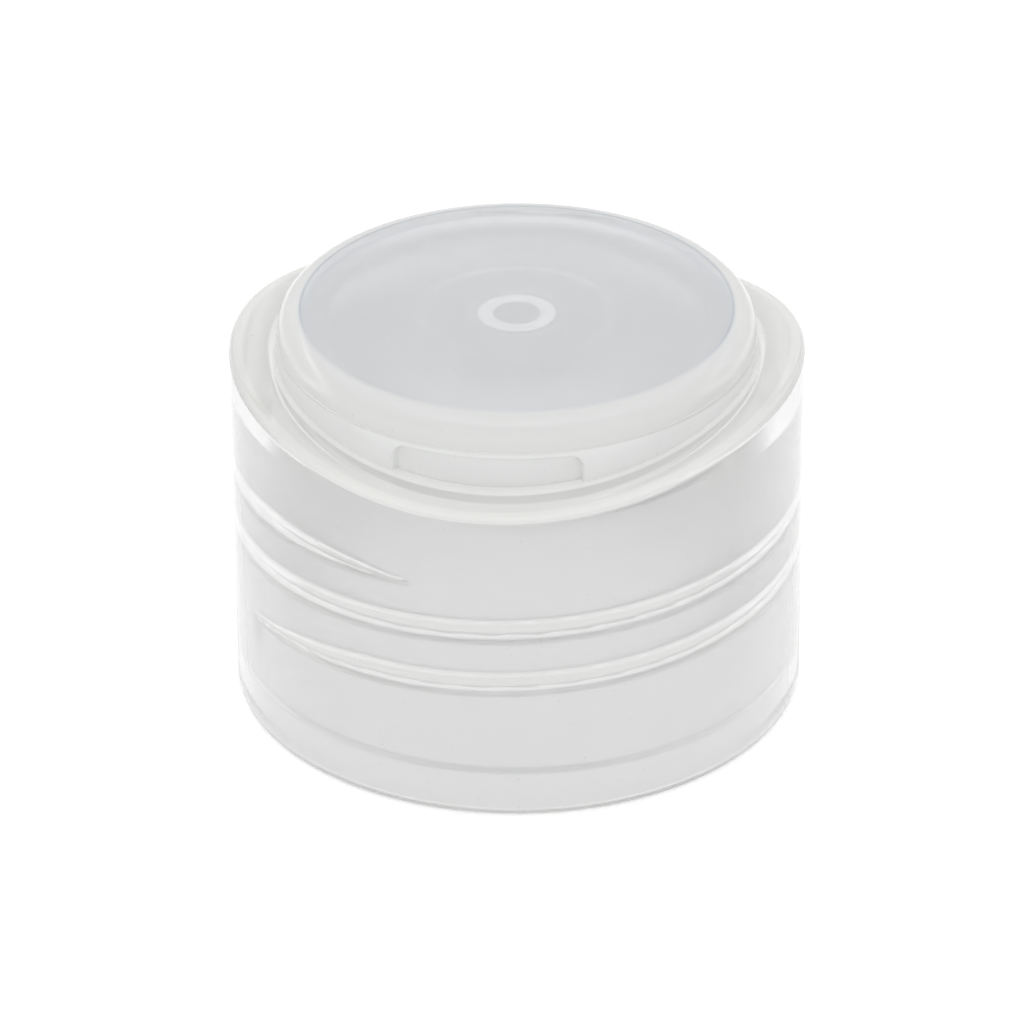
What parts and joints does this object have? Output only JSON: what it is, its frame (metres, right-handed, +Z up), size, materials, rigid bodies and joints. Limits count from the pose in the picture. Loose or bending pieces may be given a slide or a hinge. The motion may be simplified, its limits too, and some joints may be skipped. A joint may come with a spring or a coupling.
{
  "type": "flip top cap",
  "caption": "Round screw-on bottle cap with a hinged flip lid on an arched shoulder and a thumb recess at the front.",
  "frame": {"origin": "centre of the bottom rim, on the plane that the cap stands on", "axes": "+Z up along the cap's axis to the lid, -Y towards the thumb recess, +Y towards the hinge"},
  "size_m": [0.0284, 0.0284, 0.0206],
  "materials": {
    "base_plastic": "milky see-through natural polypropylene, smooth",
    "lid_plastic": "milky see-through natural polypropylene, smooth"
  },
  "bodies": {
    "base": {"cap_base": "base_plastic"},
    "lid": {"flip_lid": "lid_plastic"}
  },
  "joints": [
    {"name": "lid_hinge", "type": "hinge", "parent": "base", "child": "lid", "pos_m": [0, 0.014, 0.01689], "axis": [-1, 0, 0], "range_deg": [0, 180]}
  ]
}
